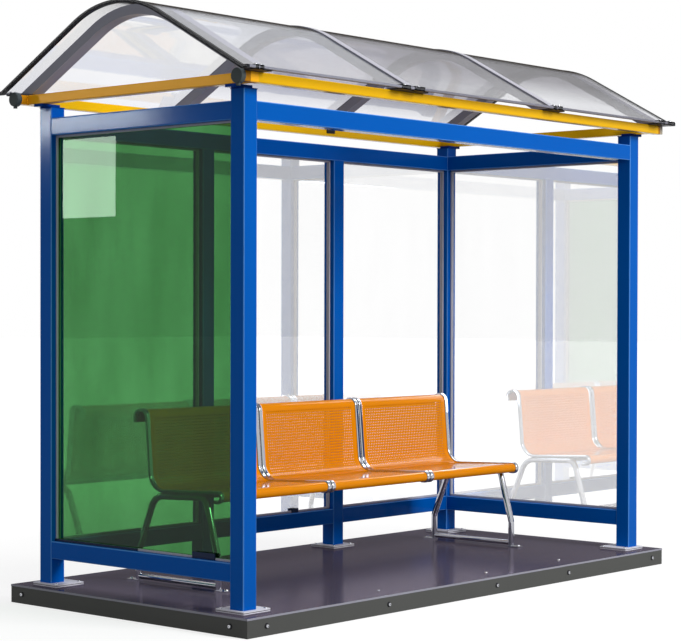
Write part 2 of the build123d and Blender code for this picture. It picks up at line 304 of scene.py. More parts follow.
def glazing(name, base_hex, roughness, ior, streak="FCFCFC", veil=None):
    """Toughened glass, clear or body-tinted: a sharp mirror that a white wall shows through."""
    made, tree, shader = material(name, Transmission_Weight=1.0, IOR=ior)
    tinted(tree, shader, linear(base_hex), streak, roughness)
    surface = (shader, 0)
    if veil:
        # a little of the light is scattered in the tinted body
        scatter = add(tree, "ShaderNodeBsdfTranslucent", {"Color": linear(veil)})
        front = add(tree, "ShaderNodeBsdfDiffuse", {"Color": linear(veil)})
        both = add(tree, "ShaderNodeMixShader", {0: 0.5, 1: (front, 0), 2: (scatter, 0)})
        surface = (add(tree, "ShaderNodeMixShader", {0: 0.03, 1: surface, 2: (both, 0)}), 0)
    light_passes(tree, surface, one_face(base_hex))
    return made


def roofing(name, base_hex, smoke, lip, far_side=None):
    """Bent acrylic sheet: clear at the eaves, tinted further up, with slow waves from bending."""
    made, tree, shader = material(name, Transmission_Weight=1.0, IOR=1.49)
    where = add(tree, "ShaderNodeTexCoord")
    split = add(tree, "ShaderNodeSeparateXYZ", {0: (where, "Object")})
    height = add(tree, "ShaderNodeMapRange", {
        "Value": (split, 2), "From Min": lip + 60 * MM, "From Max": lip + 200 * MM})
    # a far side of its own stands for the other light behind the ridge
    tint = zones(tree, 1, base_hex, ((0, far_side or base_hex),))
    base = add(tree, "ShaderNodeMix", {0: (height, 0), "A": linear("F4F5FA"), "B": tint},
               data_type="RGBA")
    tinted(tree, shader, (base, 2), "FCFCFC", 0.02)
    slow = grain(tree, 143 * MM, 1)
    relief = add(tree, "ShaderNodeBump", {"Height": (slow, 0), "Distance": 0.3 * MM})
    tree.links.new(relief.outputs[0], shader.inputs["Normal"])
    # where the crown turns edge-on, the long way through the sheet makes a dark line
    edge_on = add(tree, "ShaderNodeLayerWeight", {"Blend": 0.5})
    grazing = add(tree, "ShaderNodeMapRange", {
        "Value": (edge_on, "Facing"), "From Min": 0.80, "From Max": 0.86})
    turn = add(tree, "ShaderNodeSeparateXYZ", {0: (where, "Normal")})
    rise = add(tree, "ShaderNodeMath", {0: (turn, 2)}, operation="ABSOLUTE")
    crown = add(tree, "ShaderNodeMapRange", {
        "Value": (rise, 0), "From Min": 0.90, "From Max": 0.94})
    share = add(tree, "ShaderNodeMath", {0: (grazing, 0), 1: (crown, 0)}, operation="MULTIPLY")
    dark = add(tree, "ShaderNodeBsdfDiffuse", {"Color": linear(smoke)})
    surface = add(tree, "ShaderNodeMixShader", {0: (share, 0), 1: (shader, 0), 2: (dark, 0)})
    light_passes(tree, (surface, 0), one_face(base_hex))
    return made


def finishes(colours):
    """Every material of the shelter, by name."""
    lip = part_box("roof_sheet_left")[0].z
    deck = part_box("deck_sheet")[1].z
    # places along the roof frame where the coat changes tone, 1 mm clear of the left cross beam;
    # that beam's yellow is painted light, brighter against its shade
    cross_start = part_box("roof_beam_left")[0].x - 1 * MM
    cross_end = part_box("roof_beam_left")[1].x + 1 * MM
    plug_start = -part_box("roof_beam_front")[0].x
    return {
        # the blue coat, with painted highlights on its rounded edges
        "blue": powder_coat("Blue_powder_coat", colours.blue, 0.14, 0.03, edge=colours.blue_edge_highlight),
        # the posts' blue, darkened as painted shade for the post caps under the roof
        "blue_painted_shade": powder_coat("Navy_powder_coat", "003A90", 0.14, 0.03),
        "yellow": powder_coat("Yellow_powder_coat", colours.sleeve, 0.16, 0.06, (
            # the left cross beam gets the yellow painted brighter, as painted light against its
            # shade
            (cross_start, colours.yellow_brightened), (cross_end, colours.yellow),
            (plug_start - 16 * MM, colours.sleeve), (plug_start, colours.plug))),
        "orange": powder_coat("Orange_powder_coat", colours.orange, 0.09, 0.05),
        "skirt": powder_coat("Dark_satin_sheet", colours.skirt, 0.5, 0.1),
        "carrier": powder_coat("Grey_satin_paint", "4D4F52", 0.45, 0.2),
        "deck": deck_lacquer("Dark_lacquered_sheet", colours.deck),
        # a thin dark line runs round the edge of a foot plate
        "foot": satin_metal("Zinc_foot_plate", "E6E6EE", (
            (deck + 4 * MM, "5A5A62"), (deck + 7 * MM, "E6E6EE"))),
        # a rib's feet and clips, under the sheets' lips, are painted dark as painted shade, and
        # its arch is pale
        "rib": satin_metal("Anodised_rib_shaded_feet", "3A3C40", ((lip, "A8A8B2"),)),
        "aluminium": satin_metal("Satin_aluminium", "BCBCC6"),
        "strip": satin_metal("Grey_sheet_edge", "8C8C96", passing=True),
        # the deck's folded edge, painted pale as a painted highlight
        "edging_highlight": satin_metal("Folded_sheet_edge_painted_highlight", colours.edging_highlight),
        "chrome": plated("Chrome_plate", "BCBDC4", 0.06, 0.005 * MM),
        "screw": plated("Stainless_steel", "C4C5CA", 0.16, 0.01 * MM),
        "plastic": moulded("Dark_moulded_cap", "4B5354", 0.4),
        "gasket": moulded("Black_rubber_seal", "26272B", 0.35),
        "clamp": moulded("Dark_glass_clamp", "1E2C4C", 0.3),
        "glass_clear": glazing("Clear_toughened_glass", colours.clear, 0.003, 1.7),
        # a coated pane, whose mirror is as strong as the photograph shows it
        "glass_bright": glazing("Bright_toughened_glass", colours.clear, 0.003, 4.0),
        "glass_green": glazing(
            "Green_toughened_glass", colours.green, 0.01, 1.25, "C8DCC8", "0A9A40"),
        # each bay has its own body tint as painted light and shade
        "sheet_left": roofing(
            "Clear_acrylic_left", colours.roof_left, colours.smoke, lip, "F6F6F6"),
        "sheet_centre": roofing("Clear_acrylic_centre", colours.roof_centre_shaded, colours.smoke, lip),
        "sheet_right": roofing("Clear_acrylic_right", colours.roof_right_shaded, colours.smoke, lip),
    }


# The finish of each of the record's slots, and of the nodes that have one of their own
FINISH_OF = {
    "blue_paint": "blue", "yellow_paint": "yellow", "orange_paint": "orange",
    "plinth_grey": "skirt", "deck_grey": "deck", "zinc": "foot", "dark_plastic": "plastic",
    "clear_glass": "glass_clear", "green_glass": "glass_green", "bright_aluminium": "rib",
    "chrome_tube": "chrome", "carrier_grey": "carrier",
    # the post caps get the blue darkened as painted shade
    "foot_plates": "foot", "post_caps": "blue_painted_shade", "glass_right": "glass_bright",
    "glass_back_left": "glass_bright", "glass_back_centre": "glass_bright",
    "roof_sheet_left": "sheet_left", "roof_sheet_centre": "sheet_centre",
    "roof_sheet_right": "sheet_right",
}
# The materials, once the finishes are made
MADE = {}


def give(obj, finish):
    """Put a finish on a piece and ride it on the shelter."""
    obj.data.materials.clear()
    obj.data.materials.append(MADE[finish])
    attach(obj, "root")


# Mesh makers

# an edge turned by more than this is shaded sharp
SHARP = radians(35)
UP = (0, 0, 1)


def piece_from(name, mesh_maker):
    """A piece whose mesh is filled by a function that takes a bmesh."""
    shape = bmesh.new()
    mesh_maker(shape)
    bmesh.ops.remove_doubles(shape, verts=shape.verts, dist=0.001 * MM)
    bmesh.ops.recalc_face_normals(shape, faces=shape.faces)
    mesh = bpy.data.meshes.new(name)
    shape.to_mesh(mesh)
    shape.free()
    obj = bpy.data.objects.new(name, mesh)
    bpy.context.scene.collection.objects.link(obj)
    return obj


def block(shape, low, high, bevel=0.0):
    """A box between two corners, with a small bevel on its edges."""
    low, high = Vector(low), Vector(high)
    made = bmesh.ops.create_cube(shape, size=1.0)["verts"]
    bmesh.ops.scale(shape, vec=high - low, verts=made)
    bmesh.ops.translate(shape, vec=(low + high) / 2, verts=made)
    if bevel:
        edges = {e for v in made for e in v.link_edges}
        bmesh.ops.bevel(shape, geom=list(edges), offset=bevel, segments=2, affect="EDGES",
                        profile=0.6)


def turned(name, profile, steps=16):
    """A solid of revolution about Z from (radius, height) points, used as a pattern."""
    def fill(shape):
        rings = []
        for radius, height in profile:
            # a ring on the axis is a single point, which closes the end
            turns = [2 * pi * k / steps for k in range(steps if radius else 1)]
            rings.append([shape.verts.new((radius * cos(t), radius * sin(t), height))
                          for t in turns])
        for a, b in zip(rings, rings[1:]):
            for k in range(steps):
                m = (k + 1) % steps
                corners = [a[k % len(a)], a[m % len(a)], b[m % len(b)], b[k % len(b)]]
                unique = list(dict.fromkeys(corners))
                if len(unique) > 2:
                    shape.faces.new(unique)
    obj = piece_from(name, fill)
    for face in obj.data.polygons:
        face.use_smooth = True
    obj.data.set_sharp_from_angle(angle=SHARP)
    return obj


def vault_line(depth):
    """Side line of the roof vault at a depth under its outer face, from eave to eave."""
    low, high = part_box("roof_sheet_left")
    lip_z = low.z + SHEET
    centre_z = high.z - CROWN_RADIUS
    # the flanks are tangents of the crown that end where the flat lips start
    reach, rise = high.y - LIP_WIDTH, lip_z - centre_z
    angle = atan2(reach, rise) - acos(CROWN_RADIUS / hypot(reach, rise))
    radius = CROWN_RADIUS - depth
    steps = 24
    arc = [(radius * sin(t), centre_z + radius * cos(t))
           for t in (angle * (2 * k / steps - 1) for k in range(steps + 1))]
    knee_z = lip_z - depth
    knee_y = arc[-1][0] + (arc[-1][1] - knee_z) / tan(angle)
    right = [(knee_y, knee_z), (high.y, knee_z)]
    return [(-y, z) for y, z in reversed(right)] + arc + right


def vault_strip(shape, start, stop, top, bottom):
    """A closed strip of the vault between two places along the roof and two depths."""
    lines = vault_line(top), vault_line(bottom)
    a, b, c, d = [[shape.verts.new((x, y, z)) for y, z in line]
                  for x in (start, stop) for line in lines]
    for k in range(len(a) - 1):
        for p, q in ((a, b), (b, d), (d, c), (c, a)):
            shape.faces.new((p[k], p[k + 1], q[k + 1], q[k]))
    for k in (0, -1):
        shape.faces.new((a[k], b[k], d[k], c[k]))


def new_tree(name, inputs):
    """A geometry node tree with a Geometry in and out and named inputs: (tree, in, out)."""
    tree = bpy.data.node_groups.new(name, "GeometryNodeTree")
    face = tree.interface
    face.new_socket("Geometry", in_out="INPUT", socket_type="NodeSocketGeometry")
    for label, kind, default in inputs:
        made = face.new_socket(label, in_out="INPUT", socket_type=kind)
        if default is not None:
            made.default_value = default
    face.new_socket("Geometry", in_out="OUTPUT", socket_type="NodeSocketGeometry")
    return tree, tree.nodes.new("NodeGroupInput"), tree.nodes.new("NodeGroupOutput")


def grown(name, base, tree, values):
    """Run a tree on a base mesh and keep the result as a plain mesh piece."""
    modifier = base.modifiers.new("grow", "NODES")
    modifier.node_group = tree
    sockets = {s.name: s.identifier for s in tree.interface.items_tree if s.in_out == "INPUT"}
    for label, value in values.items():
        modifier[sockets[label]] = value
    bpy.context.view_layer.update()
    graph = bpy.context.evaluated_depsgraph_get()
    mesh = bpy.data.meshes.new_from_object(base.evaluated_get(graph))
    mesh.name = name
    old = base.data
    base.modifiers.clear()
    made = bpy.data.objects.new(name, mesh)
    bpy.context.scene.collection.objects.link(made)
    bpy.data.objects.remove(base)
    bpy.data.meshes.remove(old)
    return made


def points_with(name, spots, attribute, kind, values):
    """A mesh of loose points that carries one attribute."""
    mesh = bpy.data.meshes.new(name)
    mesh.from_pydata(spots, [], [])
    made = mesh.attributes.new(attribute, kind, "POINT")
    made.data.foreach_set("vector" if kind == "FLOAT_VECTOR" else "value", values)
    obj = bpy.data.objects.new(name, mesh)
    bpy.context.scene.collection.objects.link(obj)
    return obj


def fixing_tree():
    """Copies of a pattern on points, each turned to face its own way."""
    tree, start, end = new_tree("Fixings", [
        ("Pattern", "NodeSocketObject", None),
        ("Size", "NodeSocketFloat", 1.0),
        ("Finish", "NodeSocketMaterial", None),
    ])
    pattern = add(tree, "GeometryNodeObjectInfo", {"Object": (start, "Pattern")})
    facing = add(tree, "GeometryNodeInputNamedAttribute", {"Name": "facing"},
                 data_type="FLOAT_VECTOR")
    turn = add(tree, "FunctionNodeAlignRotationToVector", {"Vector": (facing, 0)}, axis="Z")
    copies = add(tree, "GeometryNodeInstanceOnPoints", {
        "Points": (start, "Geometry"), "Instance": (pattern, "Geometry"), "Rotation": (turn, 0)})
    sized = add(tree, "GeometryNodeScaleInstances", {
        "Instances": (copies, 0), "Scale": (start, "Size")})
    solid = add(tree, "GeometryNodeRealizeInstances", {"Geometry": (sized, 0)})
    finished = add(tree, "GeometryNodeSetMaterial", {
        "Geometry": (solid, 0), "Material": (start, "Finish")})
    tree.links.new(finished.outputs[0], end.inputs[0])
    return tree


def fixings(name, pattern, places, finish, size=1.0):
    """One piece made of copies of a pattern at (point, direction) places."""
    base = points_with(name + "_places", [point for point, way in places], "facing",
                       "FLOAT_VECTOR", [x for point, way in places for x in way])
    tree = bpy.data.node_groups.get("Fixings") or fixing_tree()
    made = grown(name, base, tree, {"Pattern": pattern, "Size": size, "Finish": MADE[finish]})
    give(made, finish)


# Seats

def seat_profile(node, half):
    """Middle line of a seat's sheet, from the front roll to the back curl, its corners rounded."""
    low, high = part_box(node)
    front, rear = low.y + half, high.y - half
    top, bottom = high.z - half, low.z + half
    # under the front roll, its two corners, the bend, the top's two corners, the curl's end
    corners = [
        Vector((front + 42 * MM, bottom)),
        Vector((front, bottom)),
        Vector((front, bottom + 45 * MM)),
        Vector((front + 453 * MM, bottom + 26 * MM)),
        Vector((rear - 76 * MM, top)),
        Vector((rear, top)),
        Vector((rear, top - 59 * MM)),
    ]
    radii = [22 * MM, 22 * MM, 85 * MM, 36 * MM, 36 * MM]
    points = [corners[0]]
    for before, at, after, radius in zip(corners, corners[1:], corners[2:], radii):
        a, b = (before - at).normalized(), (after - at).normalized()
        half_angle = acos(max(-1, min(1, a.dot(b)))) / 2
        reach = radius / tan(half_angle)
        centre = at + (a + b).normalized() * (radius / sin(half_angle))
        first, last = at + a * reach - centre, at + b * reach - centre
        sweep = atan2(first.x * last.y - first.y * last.x, first.dot(last))
        steps = max(4, ceil(abs(sweep) / radians(6)))
        for k in range(steps + 1):
            t = sweep * k / steps
            points.append(centre + Vector((first.x * cos(t) - first.y * sin(t),
                                           first.x * sin(t) + first.y * cos(t))))
    points.append(corners[-1])
    return points


def perforated_tree():
    """Cells of a sheet, some with a hole, bent along a side line and given a thickness."""
    tree, start, end = new_tree("Perforated_sheet", [
        ("Holed cell", "NodeSocketObject", None),
        ("Plain cell", "NodeSocketObject", None),
        ("Side line", "NodeSocketObject", None),
        ("Thickness", "NodeSocketFloat", 3 * MM),
        ("Finish", "NodeSocketMaterial", None),
    ])
    holed = add(tree, "GeometryNodeObjectInfo", {"Object": (start, "Holed cell")})
    plain = add(tree, "GeometryNodeObjectInfo", {"Object": (start, "Plain cell")})
    line = add(tree, "GeometryNodeObjectInfo", {"Object": (start, "Side line")})
    is_holed = add(tree, "GeometryNodeInputNamedAttribute", {"Name": "holed"},
                   data_type="BOOLEAN")
    is_plain = add(tree, "FunctionNodeBooleanMath", {0: (is_holed, 0)}, operation="NOT")
    cells = tree.nodes.new("GeometryNodeJoinGeometry")
    for select, pattern in (((is_holed, 0), holed), ((is_plain, 0), plain)):
        copies = add(tree, "GeometryNodeInstanceOnPoints", {
            "Points": (start, "Geometry"), "Selection": select, "Instance": (pattern, "Geometry")})
        real = add(tree, "GeometryNodeRealizeInstances", {"Geometry": (copies, 0)})
        tree.links.new(real.outputs[0], cells.inputs[0])
    merged = add(tree, "GeometryNodeMergeByDistance", {
        "Geometry": (cells, 0), "Distance": 0.2 * MM})
    # each point goes to its place along the side line
    where = add(tree, "GeometryNodeInputPosition")
    split = add(tree, "ShaderNodeSeparateXYZ", {0: (where, 0)})
    curve = add(tree, "GeometryNodeMeshToCurve", {"Mesh": (line, "Geometry")})
    sample = add(tree, "GeometryNodeSampleCurve", {"Curves": (curve, 0)},
                 mode="LENGTH", use_all_curves=True)
    distance = next(s for s in sample.inputs if s.name == "Length" and s.enabled)
    tree.links.new(split.outputs[1], distance)
    spot = add(tree, "ShaderNodeSeparateXYZ", {0: (sample, "Position")})
    target = add(tree, "ShaderNodeCombineXYZ", {0: (split, 0), 1: (spot, 1), 2: (spot, 2)})
    bent = add(tree, "GeometryNodeSetPosition", {"Geometry": (merged, 0), "Position": (target, 0)})
    # half the thickness down, then the whole thickness up, with the under face turned over
    normal = add(tree, "GeometryNodeInputNormal")
    down = add(tree, "ShaderNodeMath", {0: (start, "Thickness"), 1: -0.5},
               operation="MULTIPLY")
    shift = add(tree, "ShaderNodeVectorMath", {0: (normal, 0), "Scale": (down, 0)},
                operation="SCALE")
    sunk = add(tree, "GeometryNodeSetPosition", {"Geometry": (bent, 0), "Offset": (shift, 0)})
    raised = add(tree, "GeometryNodeExtrudeMesh", {
        "Mesh": (sunk, 0), "Offset Scale": (start, "Thickness"), "Individual": False},
        mode="FACES")
    under = add(tree, "GeometryNodeFlipFaces", {"Mesh": (sunk, 0)})
    sheet = tree.nodes.new("GeometryNodeJoinGeometry")
    for part in (raised, under):
        tree.links.new(part.outputs[0], sheet.inputs[0])
    closed = add(tree, "GeometryNodeMergeByDistance", {
        "Geometry": (sheet, 0), "Distance": 0.05 * MM})
    # smooth along the bends, sharp round the holes and edges
    smooth = add(tree, "GeometryNodeSetShadeSmooth", {"Geometry": (closed, 0)})
    angle = add(tree, "GeometryNodeInputMeshEdgeAngle")
    sharp = add(tree, "ShaderNodeMath", {0: (angle, "Unsigned Angle"), 1: SHARP},
                operation="GREATER_THAN")
    shaded = add(tree, "GeometryNodeSetShadeSmooth", {
        "Geometry": (smooth, 0), "Selection": (sharp, 0), "Shade Smooth": False}, domain="EDGE")
    finished = add(tree, "GeometryNodeSetMaterial", {
        "Geometry": (shaded, 0), "Material": (start, "Finish")})
    tree.links.new(finished.outputs[0], end.inputs[0])
    return tree


def cell(name, width, depth, hole=0.0):
    """One flat cell of the sheet, with an eight-sided hole or none."""
    def fill(shape):
        outer = [(1, 0), (1, 1), (0, 1), (-1, 1), (-1, 0), (-1, -1), (0, -1), (1, -1)]
        sides = len(outer)
        rim = [shape.verts.new((x * width / 2, y * depth / 2, 0)) for x, y in outer]
        if hole:
            turns = [2 * pi * k / sides for k in range(sides)]
            ring = [shape.verts.new((hole / 2 * cos(t), hole / 2 * sin(t), 0)) for t in turns]
            for k in range(sides):
                m = (k + 1) % sides
                shape.faces.new((rim[k], rim[m], ring[m], ring[k]))
        else:
            middle = shape.verts.new((0, 0, 0))
            for k in range(1, sides, 2):
                shape.faces.new((rim[k], rim[(k + 1) % sides], middle, rim[k - 1]))
    return piece_from(name, fill)


def perforated_seat(node, sizes):
    """A seat shell with its perforations, bent to the side line of its plain node."""
    low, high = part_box(node)
    points = seat_profile(node, sizes.shell / 2)
    reach = sum((b - a).length for a, b in zip(points, points[1:]))
    width = high.x - low.x
    across, along = round(width / sizes.hole_pitch), round(reach / sizes.hole_pitch)
    step_x, step_y = width / across, reach / along
    line = bpy.data.meshes.new("side_line")
    line.from_pydata([(0, p.x, p.y) for p in points],
                     [(k, k + 1) for k in range(len(points) - 1)], [])
    side = bpy.data.objects.new("side_line", line)
    bpy.context.scene.collection.objects.link(side)
    holed = cell("holed_cell", step_x, step_y, sizes.hole)
    plain = cell("plain_cell", step_x, step_y)
    # rows of holes run from behind the front roll to under the back curl, and two plain cells
    # are left along each side
    first_row, last_row = round(0.17 * along), round(0.86 * along)
    grid = [(i, j) for j in range(along) for i in range(across)]
    spots = [(low.x + (i + 0.5) * step_x, (j + 0.5) * step_y, 0) for i, j in grid]
    base = points_with("cells", spots, "holed", "BOOLEAN", [
        1 < i < across - 2 and first_row < j < last_row for i, j in grid])
    tree = bpy.data.node_groups.get("Perforated_sheet") or perforated_tree()
    made = grown("perforated_" + node, base, tree, {
        "Holed cell": holed, "Plain cell": plain, "Side line": side,
        "Thickness": sizes.shell, "Finish": MADE["orange"]})
    for spare in (side, holed, plain):
        bpy.data.objects.remove(spare)
    give(made, "orange")
    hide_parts(node)


# Operators

class SHELTER_OT_finishes(bpy.types.Operator):
    """Make the materials and put them on the fixed frame"""
    bl_idname = "shelter.finishes"
    bl_label = "Finishes"

    def execute(self, context):
        MADE.update(finishes(context.scene.shelter_colours))
        slots = {s["node"]: s["material_slot"] for s in frame["record"]["subparts"]}
        for name, obj in frame["nodes"].items():
            obj.data.materials.clear()
            obj.data.materials.append(MADE[FINISH_OF.get(name) or FINISH_OF[slots[name]]])
        return {"FINISHED"}


class SHELTER_OT_seats(bpy.types.Operator):
    """Perforated seat shells"""
    bl_idname = "shelter.seats"
    bl_label = "Seats"

    def execute(self, context):
        for place in ("left", "centre", "right"):
            perforated_seat("seat_" + place, context.scene.shelter_sizes)
        return {"FINISHED"}


class SHELTER_OT_glazing(bpy.types.Operator):
    """Glazing beads round every pane, and clamps at their feet"""
    bl_idname = "shelter.glazing"
    bl_label = "Glazing trim"

    def execute(self, context):
        sizes = context.scene.shelter_sizes
        for node in ("glass_left", "glass_right", "glass_back_left", "glass_back_centre",
                     "glass_back_right"):
            low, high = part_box(node)
            # the axis through the pane, and the level one along it
            thin = 0 if high.x - low.x < high.y - low.y else 1
            wide = 1 - thin

            def fill(shape):
                # on both faces, four beads: the foot, the head and the two sides
                for side in (0, 1):
                    near = high[thin] if side else low[thin] - sizes.bead_depth
                    for axis, at_top in ((2, 0), (2, 1), (wide, 0), (wide, 1)):
                        a, b = [0, 0, 0], [0, 0, 0]
                        a[thin], b[thin] = near, near + sizes.bead_depth
                        other = wide if axis == 2 else 2
                        a[other], b[other] = low[other], high[other]
                        edge = high[axis] - sizes.bead_width if at_top else low[axis]
                        a[axis], b[axis] = edge, edge + sizes.bead_width
                        block(shape, a, b, 1.2 * MM)
            give(piece_from("beads_" + node, fill), "aluminium")

        def fill_clamps(shape):
            left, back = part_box("glass_left"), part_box("glass_back_centre")
            base, stand, bevel = left[0].z, 8 * MM, 1.5 * MM
            # on both faces of the left pane: a short tall clamp, and a long low one behind it
            thick = 6 * MM
            for start, stop, tall in ((-458, -322, 27), (20, 640, 11)):
                for x in (left[0].x - stand - thick, left[1].x + stand):
                    block(shape, (x, start * MM, base), (x + thick, stop * MM, base + tall * MM),
                          bevel)
            # one on both faces of the centre pane
            thick = 8 * MM
            for y in (back[0].y - stand - thick, back[1].y + stand):
                block(shape, (144 * MM, y, base), (190 * MM, y + thick, base + 22 * MM), bevel)
        give(piece_from("glass_clamps", fill_clamps), "clamp")
        return {"FINISHED"}


class SHELTER_OT_roof_trim(bpy.types.Operator):
    """Seals on the ends of the roof, along the joints and at the eave clips"""
    bl_idname = "shelter.roof_trim"
    bl_label = "Roof trim"

    def execute(self, context):
        sizes = context.scene.shelter_sizes
        left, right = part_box("roof_sheet_left"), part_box("roof_sheet_right")
        self.seals(left, right, sizes.trim_width)
        self.joints(left, right)
        # a clamp stops short of the right end of its rib's clip, but the right one covers it
        short = Vector((60 * MM, 0, 0))
        clips = []
        for place in ("left", "mid_left", "mid_right", "right"):
            low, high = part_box("roof_rib_" + place)
            clips.append((low, high if place == "right" else high - short))
        self.eaves(left, right, clips, sizes)
        return {"FINISHED"}

    def seals(self, left, right, width):
        """Black seals over the two ends of the vault."""
        inset = 0.3 * MM

        def fill(shape):
            for start, stop in ((left[0].x + inset, left[0].x + width),
                                (right[1].x - width, right[1].x - inset)):
                vault_strip(shape, start, stop, -1 * MM, 15 * MM)
        give(piece_from("roof_end_seals", fill), "gasket")

    def joints(self, left, right):
        """Edge and middle strips on the cover strips of the joints, and tape on the end ribs."""
        def fill_edges(shape):
            # each strip's two edges and its middle, in millimetres from the middle of the joint
            across = (-25, -21.5), (-3.6, 3.6), (21.5, 25)
            for x in (left[1].x + JOINT_WEB / 2, right[0].x - JOINT_WEB / 2):
                for near, far in across:
                    vault_strip(shape, x + near * MM, x + far * MM, -4.6 * MM, 0)
        give(piece_from("roof_joint_edges", fill_edges), "strip")

        def fill_tapes(shape):
            # sunk a little into the underside of the sheets, 1 mm in from the rib's edges
            half = RIB_WIDTH / 2 - 1 * MM
            for middle in (left[0].x + END_RIB_INSET, right[1].x - END_RIB_INSET):
                vault_strip(shape, middle - half, middle + half, 6.6 * MM, 9 * MM)
        give(piece_from("rib_tapes", fill_tapes), "rib")

    def eaves(self, left, right, clips, sizes):
        """Edge strips along the eaves, and two pairs of jaws with a bolt on each rib's clip."""
        eave, lip_low, lip_top = left[1].y, left[0].z, left[0].z + SHEET
        lap, jaw = 1.5 * MM, 6 * MM

        def fill_edges(shape):
            for row in (-1, 1):
                ends = sorted((row * (eave - 14 * MM), row * (eave - 2 * MM)))
                block(shape, (left[0].x + sizes.trim_width, ends[0], lip_low - lap),
                      (right[1].x - sizes.trim_width, ends[1], lip_top + lap))
        give(piece_from("eave_edges", fill_edges), "strip")

        # lower jaw, upper jaw and the web that joins them: reach in from the eave, and heights
        parts = ((31, lip_low - jaw, lip_low), (27, lip_top, lip_top + jaw),
                 (1.8, lip_low - jaw, lip_top + jaw))
        # a clip has two pairs of jaws, given as shares of its width, each with a bolt
        pairs, middles = ((0.02, 0.4), (0.55, 0.98)), (0.21, 0.77)

        def fill_jaws(shape):
            for low, high in clips:
                wide = high.x - low.x
                for row in (-1, 1):
                    for share, end in pairs:
                        for deep, z0, z1 in parts:
                            ends = sorted((row * (eave - deep * MM), row * (eave - 0.2 * MM)))
                            block(shape, (low.x + share * wide, ends[0], z0),
                                  (low.x + end * wide, ends[1], z1), 0.5 * MM)
        give(piece_from("eave_clamps", fill_jaws), "gasket")

        r = sizes.bolt_head / 2
        dome = turned("dome", [(0, 0), (r, 0), (r, 0.35 * r), (0.8 * r, 0.7 * r),
                               (0.45 * r, 0.85 * r), (0, 0.9 * r)])
        places = []
        for low, high in clips:
            for row in (-1, 1):
                for share in middles:
                    x = low.x + share * (high.x - low.x)
                    places.append(((x, row * (eave - 13 * MM), lip_top + jaw), UP))
        fixings("eave_bolts", dome, places, "screw")
        bpy.data.objects.remove(dome)


class SHELTER_OT_fixings(bpy.types.Operator):
    """Deck edging, screws on the plinth, and bolts on the feet"""
    bl_idname = "shelter.fixings"
    bl_label = "Fixings"

    def execute(self, context):
        sizes = context.scene.shelter_sizes
        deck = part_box("deck_sheet")[1].z
        self.edging_highlight(deck)
        self.plinth_screws(deck, sizes.screw_head / 2)
        self.bolts(deck, sizes.bolt_head / 2)
        return {"FINISHED"}

    def edging_highlight(self, deck):
        """The deck sheet's edge, folded down over the top of the plinth and painted pale as a
        painted highlight along it.
        """
        low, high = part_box("plinth_box")
        proud, drop, lift = 1.2 * MM, 8 * MM, 0.4 * MM

        def fill(shape):
            for x0, y0, x1, y1 in ((low.x - proud, low.y - proud, high.x + proud, low.y),
                                   (low.x - proud, high.y, high.x + proud, high.y + proud),
                                   (low.x - proud, low.y, low.x, high.y),
                                   (high.x, low.y, high.x + proud, high.y)):
                block(shape, (x0, y0, deck - drop), (x1, y1, deck + lift))
        give(piece_from("deck_edging", fill), "edging_highlight")

    def plinth_screws(self, deck, r):
        """Screws on dark washers round the plinth, and three screws in the deck's front edge."""
        low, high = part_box("plinth_box")
        head = turned("head", [(0, 0), (r, 0), (r, 0.35 * r), (0.85 * r, 0.7 * r),
                               (0.5 * r, 0.85 * r), (0.42 * r, 0.86 * r), (0.4 * r, 0.45 * r),
                               (0, 0.45 * r)])
        washer = turned("washer", [(0, 0), (1.5 * r, 0), (1.45 * r, 0.25 * r), (0, 0.28 * r)])
        # places in millimetres along the long and short sides, not evenly spaced on the real one
        long_sides, short_sides = (-1461, -676, 120, 712, 1479), (-652, 674)
        long_z, short_z = deck - 41 * MM, deck - 40 * MM
        skirt = []
        for x in long_sides:
            skirt.append(((x * MM, low.y, long_z), (0, -1, 0)))
            skirt.append(((x * MM, high.y, long_z), (0, 1, 0)))
        for y in short_sides:
            skirt.append(((low.x, y * MM, short_z), (-1, 0, 0)))
            skirt.append(((high.x, y * MM, short_z), (1, 0, 0)))
        fixings("skirt_washers", washer, skirt, "gasket")
        # a head sits on its washer
        raised = [(tuple(p + 0.27 * r * n for p, n in zip(point, way)), way)
                  for point, way in skirt]
        fixings("skirt_screws", head, raised, "screw")
        in_deck = (-613, -637), (184, -637), (799, -629)
        fixings("deck_screws", head, [((x * MM, y * MM, deck), UP) for x, y in in_deck],
                "screw", 0.9)
        for spare in (head, washer):
            bpy.data.objects.remove(spare)

    def bolts(self, deck, r):
        """Bolts through the posts' foot plates and the ears of the bench's legs."""
        button = turned("button", [(0, 0), (r, 0), (r, 0.25 * r), (0.8 * r, 0.55 * r),
                                   (0.4 * r, 0.68 * r), (0, 0.7 * r)])
        foot_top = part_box("foot_plates")[1].z
        reach, shift = 66 * MM, 20 * MM
        feet = []
        for name in frame["nodes"]:
            if not name.startswith("post_") or name == "post_caps":
                continue
            low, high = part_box(name)
            x, y = (low.x + high.x) / 2, (low.y + high.y) / 2
            corner = "mid" not in name
            if corner:
                # a corner post's plate lies further in, and has no bolt in its outer corner
                x, y = x - shift * (1 if x > 0 else -1), y - shift * (1 if y > 0 else -1)
            for dx in (-reach, reach):
                for dy in (-reach, reach):
                    outer = dx * x > 0 and dy * y > 0
                    if not (corner and outer):
                        feet.append(((x + dx, y + dy, foot_top), UP))
        fixings("foot_bolts", button, feet, "screw")
        inset, thick = 15 * MM, 6 * MM
        ears = []
        for side in ("left", "right"):
            low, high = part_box("bench_leg_" + side)
            for y in (low.y + inset, high.y - inset):
                ears.append((((low.x + high.x) / 2, y, deck + thick), UP))
        fixings("ear_bolts", button, ears, "screw", 1.35)
        bpy.data.objects.remove(button)


